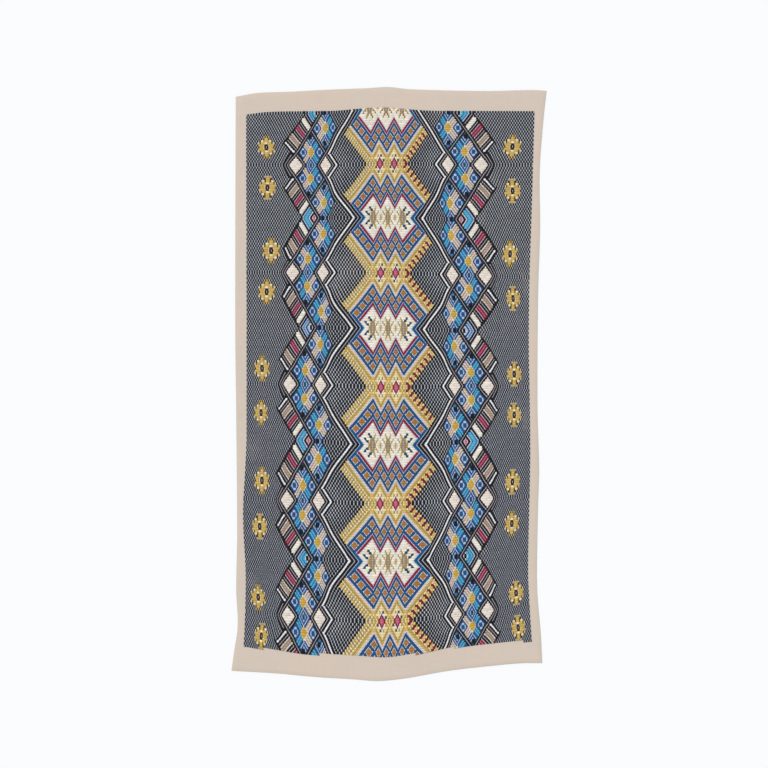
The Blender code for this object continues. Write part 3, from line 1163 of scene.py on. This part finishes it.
class BROCADE_OT_set_stage(bpy.types.Operator):
    """Set the floor, the soft light and the camera above the cloth"""
    bl_idname = "brocade.set_stage"
    bl_label = "Set the stage"

    def execute(self, context):
        stage = context.scene.brocade.stage
        scene = context.scene
        mesh = bpy.data.meshes.new("floor")
        reach = 30.0
        corners = ((-1, -1), (1, -1), (1, 1), (-1, 1))
        mesh.from_pydata([(x * reach, y * reach, 0) for x, y in corners], [], [(0, 1, 2, 3)])
        floor = add_object("floor", mesh)
        material = bpy.data.materials.new("pale_floor")
        material.use_nodes = True
        shader = material.node_tree.nodes["Principled BSDF"].inputs
        shader["Base Color"].default_value = (*stage.floor_colour, 1)
        shader["Roughness"].default_value = 1.0
        shader["Specular IOR Level"].default_value = 0.0
        mesh.materials.append(material)

        world = bpy.data.worlds.new("even_light")
        world.use_nodes = True
        sky = world.node_tree.nodes["Background"]
        sky.inputs["Color"].default_value = (0.985, 0.995, 1.0, 1)
        sky.inputs["Strength"].default_value = stage.sky_strength
        scene.world = world

        light = bpy.data.lights.new("soft_key", "SUN")
        light.energy = stage.sun_strength
        light.angle = math.radians(50)
        light.color = (1.0, 0.995, 0.985)
        key = add_object("soft_key", light)
        key.rotation_euler = (math.radians(-28), math.radians(-26), 0)

        lens = bpy.data.cameras.new("camera")
        lens.lens = lens.sensor_width * stage.camera_height / stage.frame_width
        lens.clip_end = 100
        camera = add_object("camera", lens)
        camera.location = (stage.camera_aside, 0, stage.camera_height)
        scene.camera = camera
        scene.view_settings.view_transform = "Standard"
        return {"FINISHED"}


class BROCADE_PT_panel(bpy.types.Panel):
    """Lists the steps that weave the cloth and set its stage"""
    bl_idname = "BROCADE_PT_panel"
    bl_label = "Brocade fabric"
    bl_space_type = "VIEW_3D"
    bl_region_type = "UI"
    bl_category = "Brocade"

    def draw(self, context):
        settings = context.scene.brocade
        for operator, group in (
            (BROCADE_OT_weave_ground, settings.sizes),
            (BROCADE_OT_brocade_field, settings.colours),
            (BROCADE_OT_set_stage, settings.stage),
        ):
            box = self.layout.box()
            box.operator(operator.bl_idname)
            for name in group.bl_rna.properties.keys():
                if name not in ("rna_type", "name"):
                    box.prop(group, name)


CLASSES = (
    BrocadeSizes, BrocadeColours, BrocadeStage, BrocadeSettings,
    BROCADE_OT_weave_ground, BROCADE_OT_brocade_field, BROCADE_OT_set_stage, BROCADE_PT_panel,
)


def register():
    for cls in CLASSES:
        bpy.utils.register_class(cls)
    bpy.types.Scene.brocade = PointerProperty(type=BrocadeSettings)


def unregister():
    del bpy.types.Scene.brocade
    for cls in reversed(CLASSES):
        bpy.utils.unregister_class(cls)


def main():
    register()
    bpy.ops.brocade.weave_ground()
    bpy.ops.brocade.brocade_field()
    bpy.ops.brocade.set_stage()


if __name__ == "__main__":
    main()
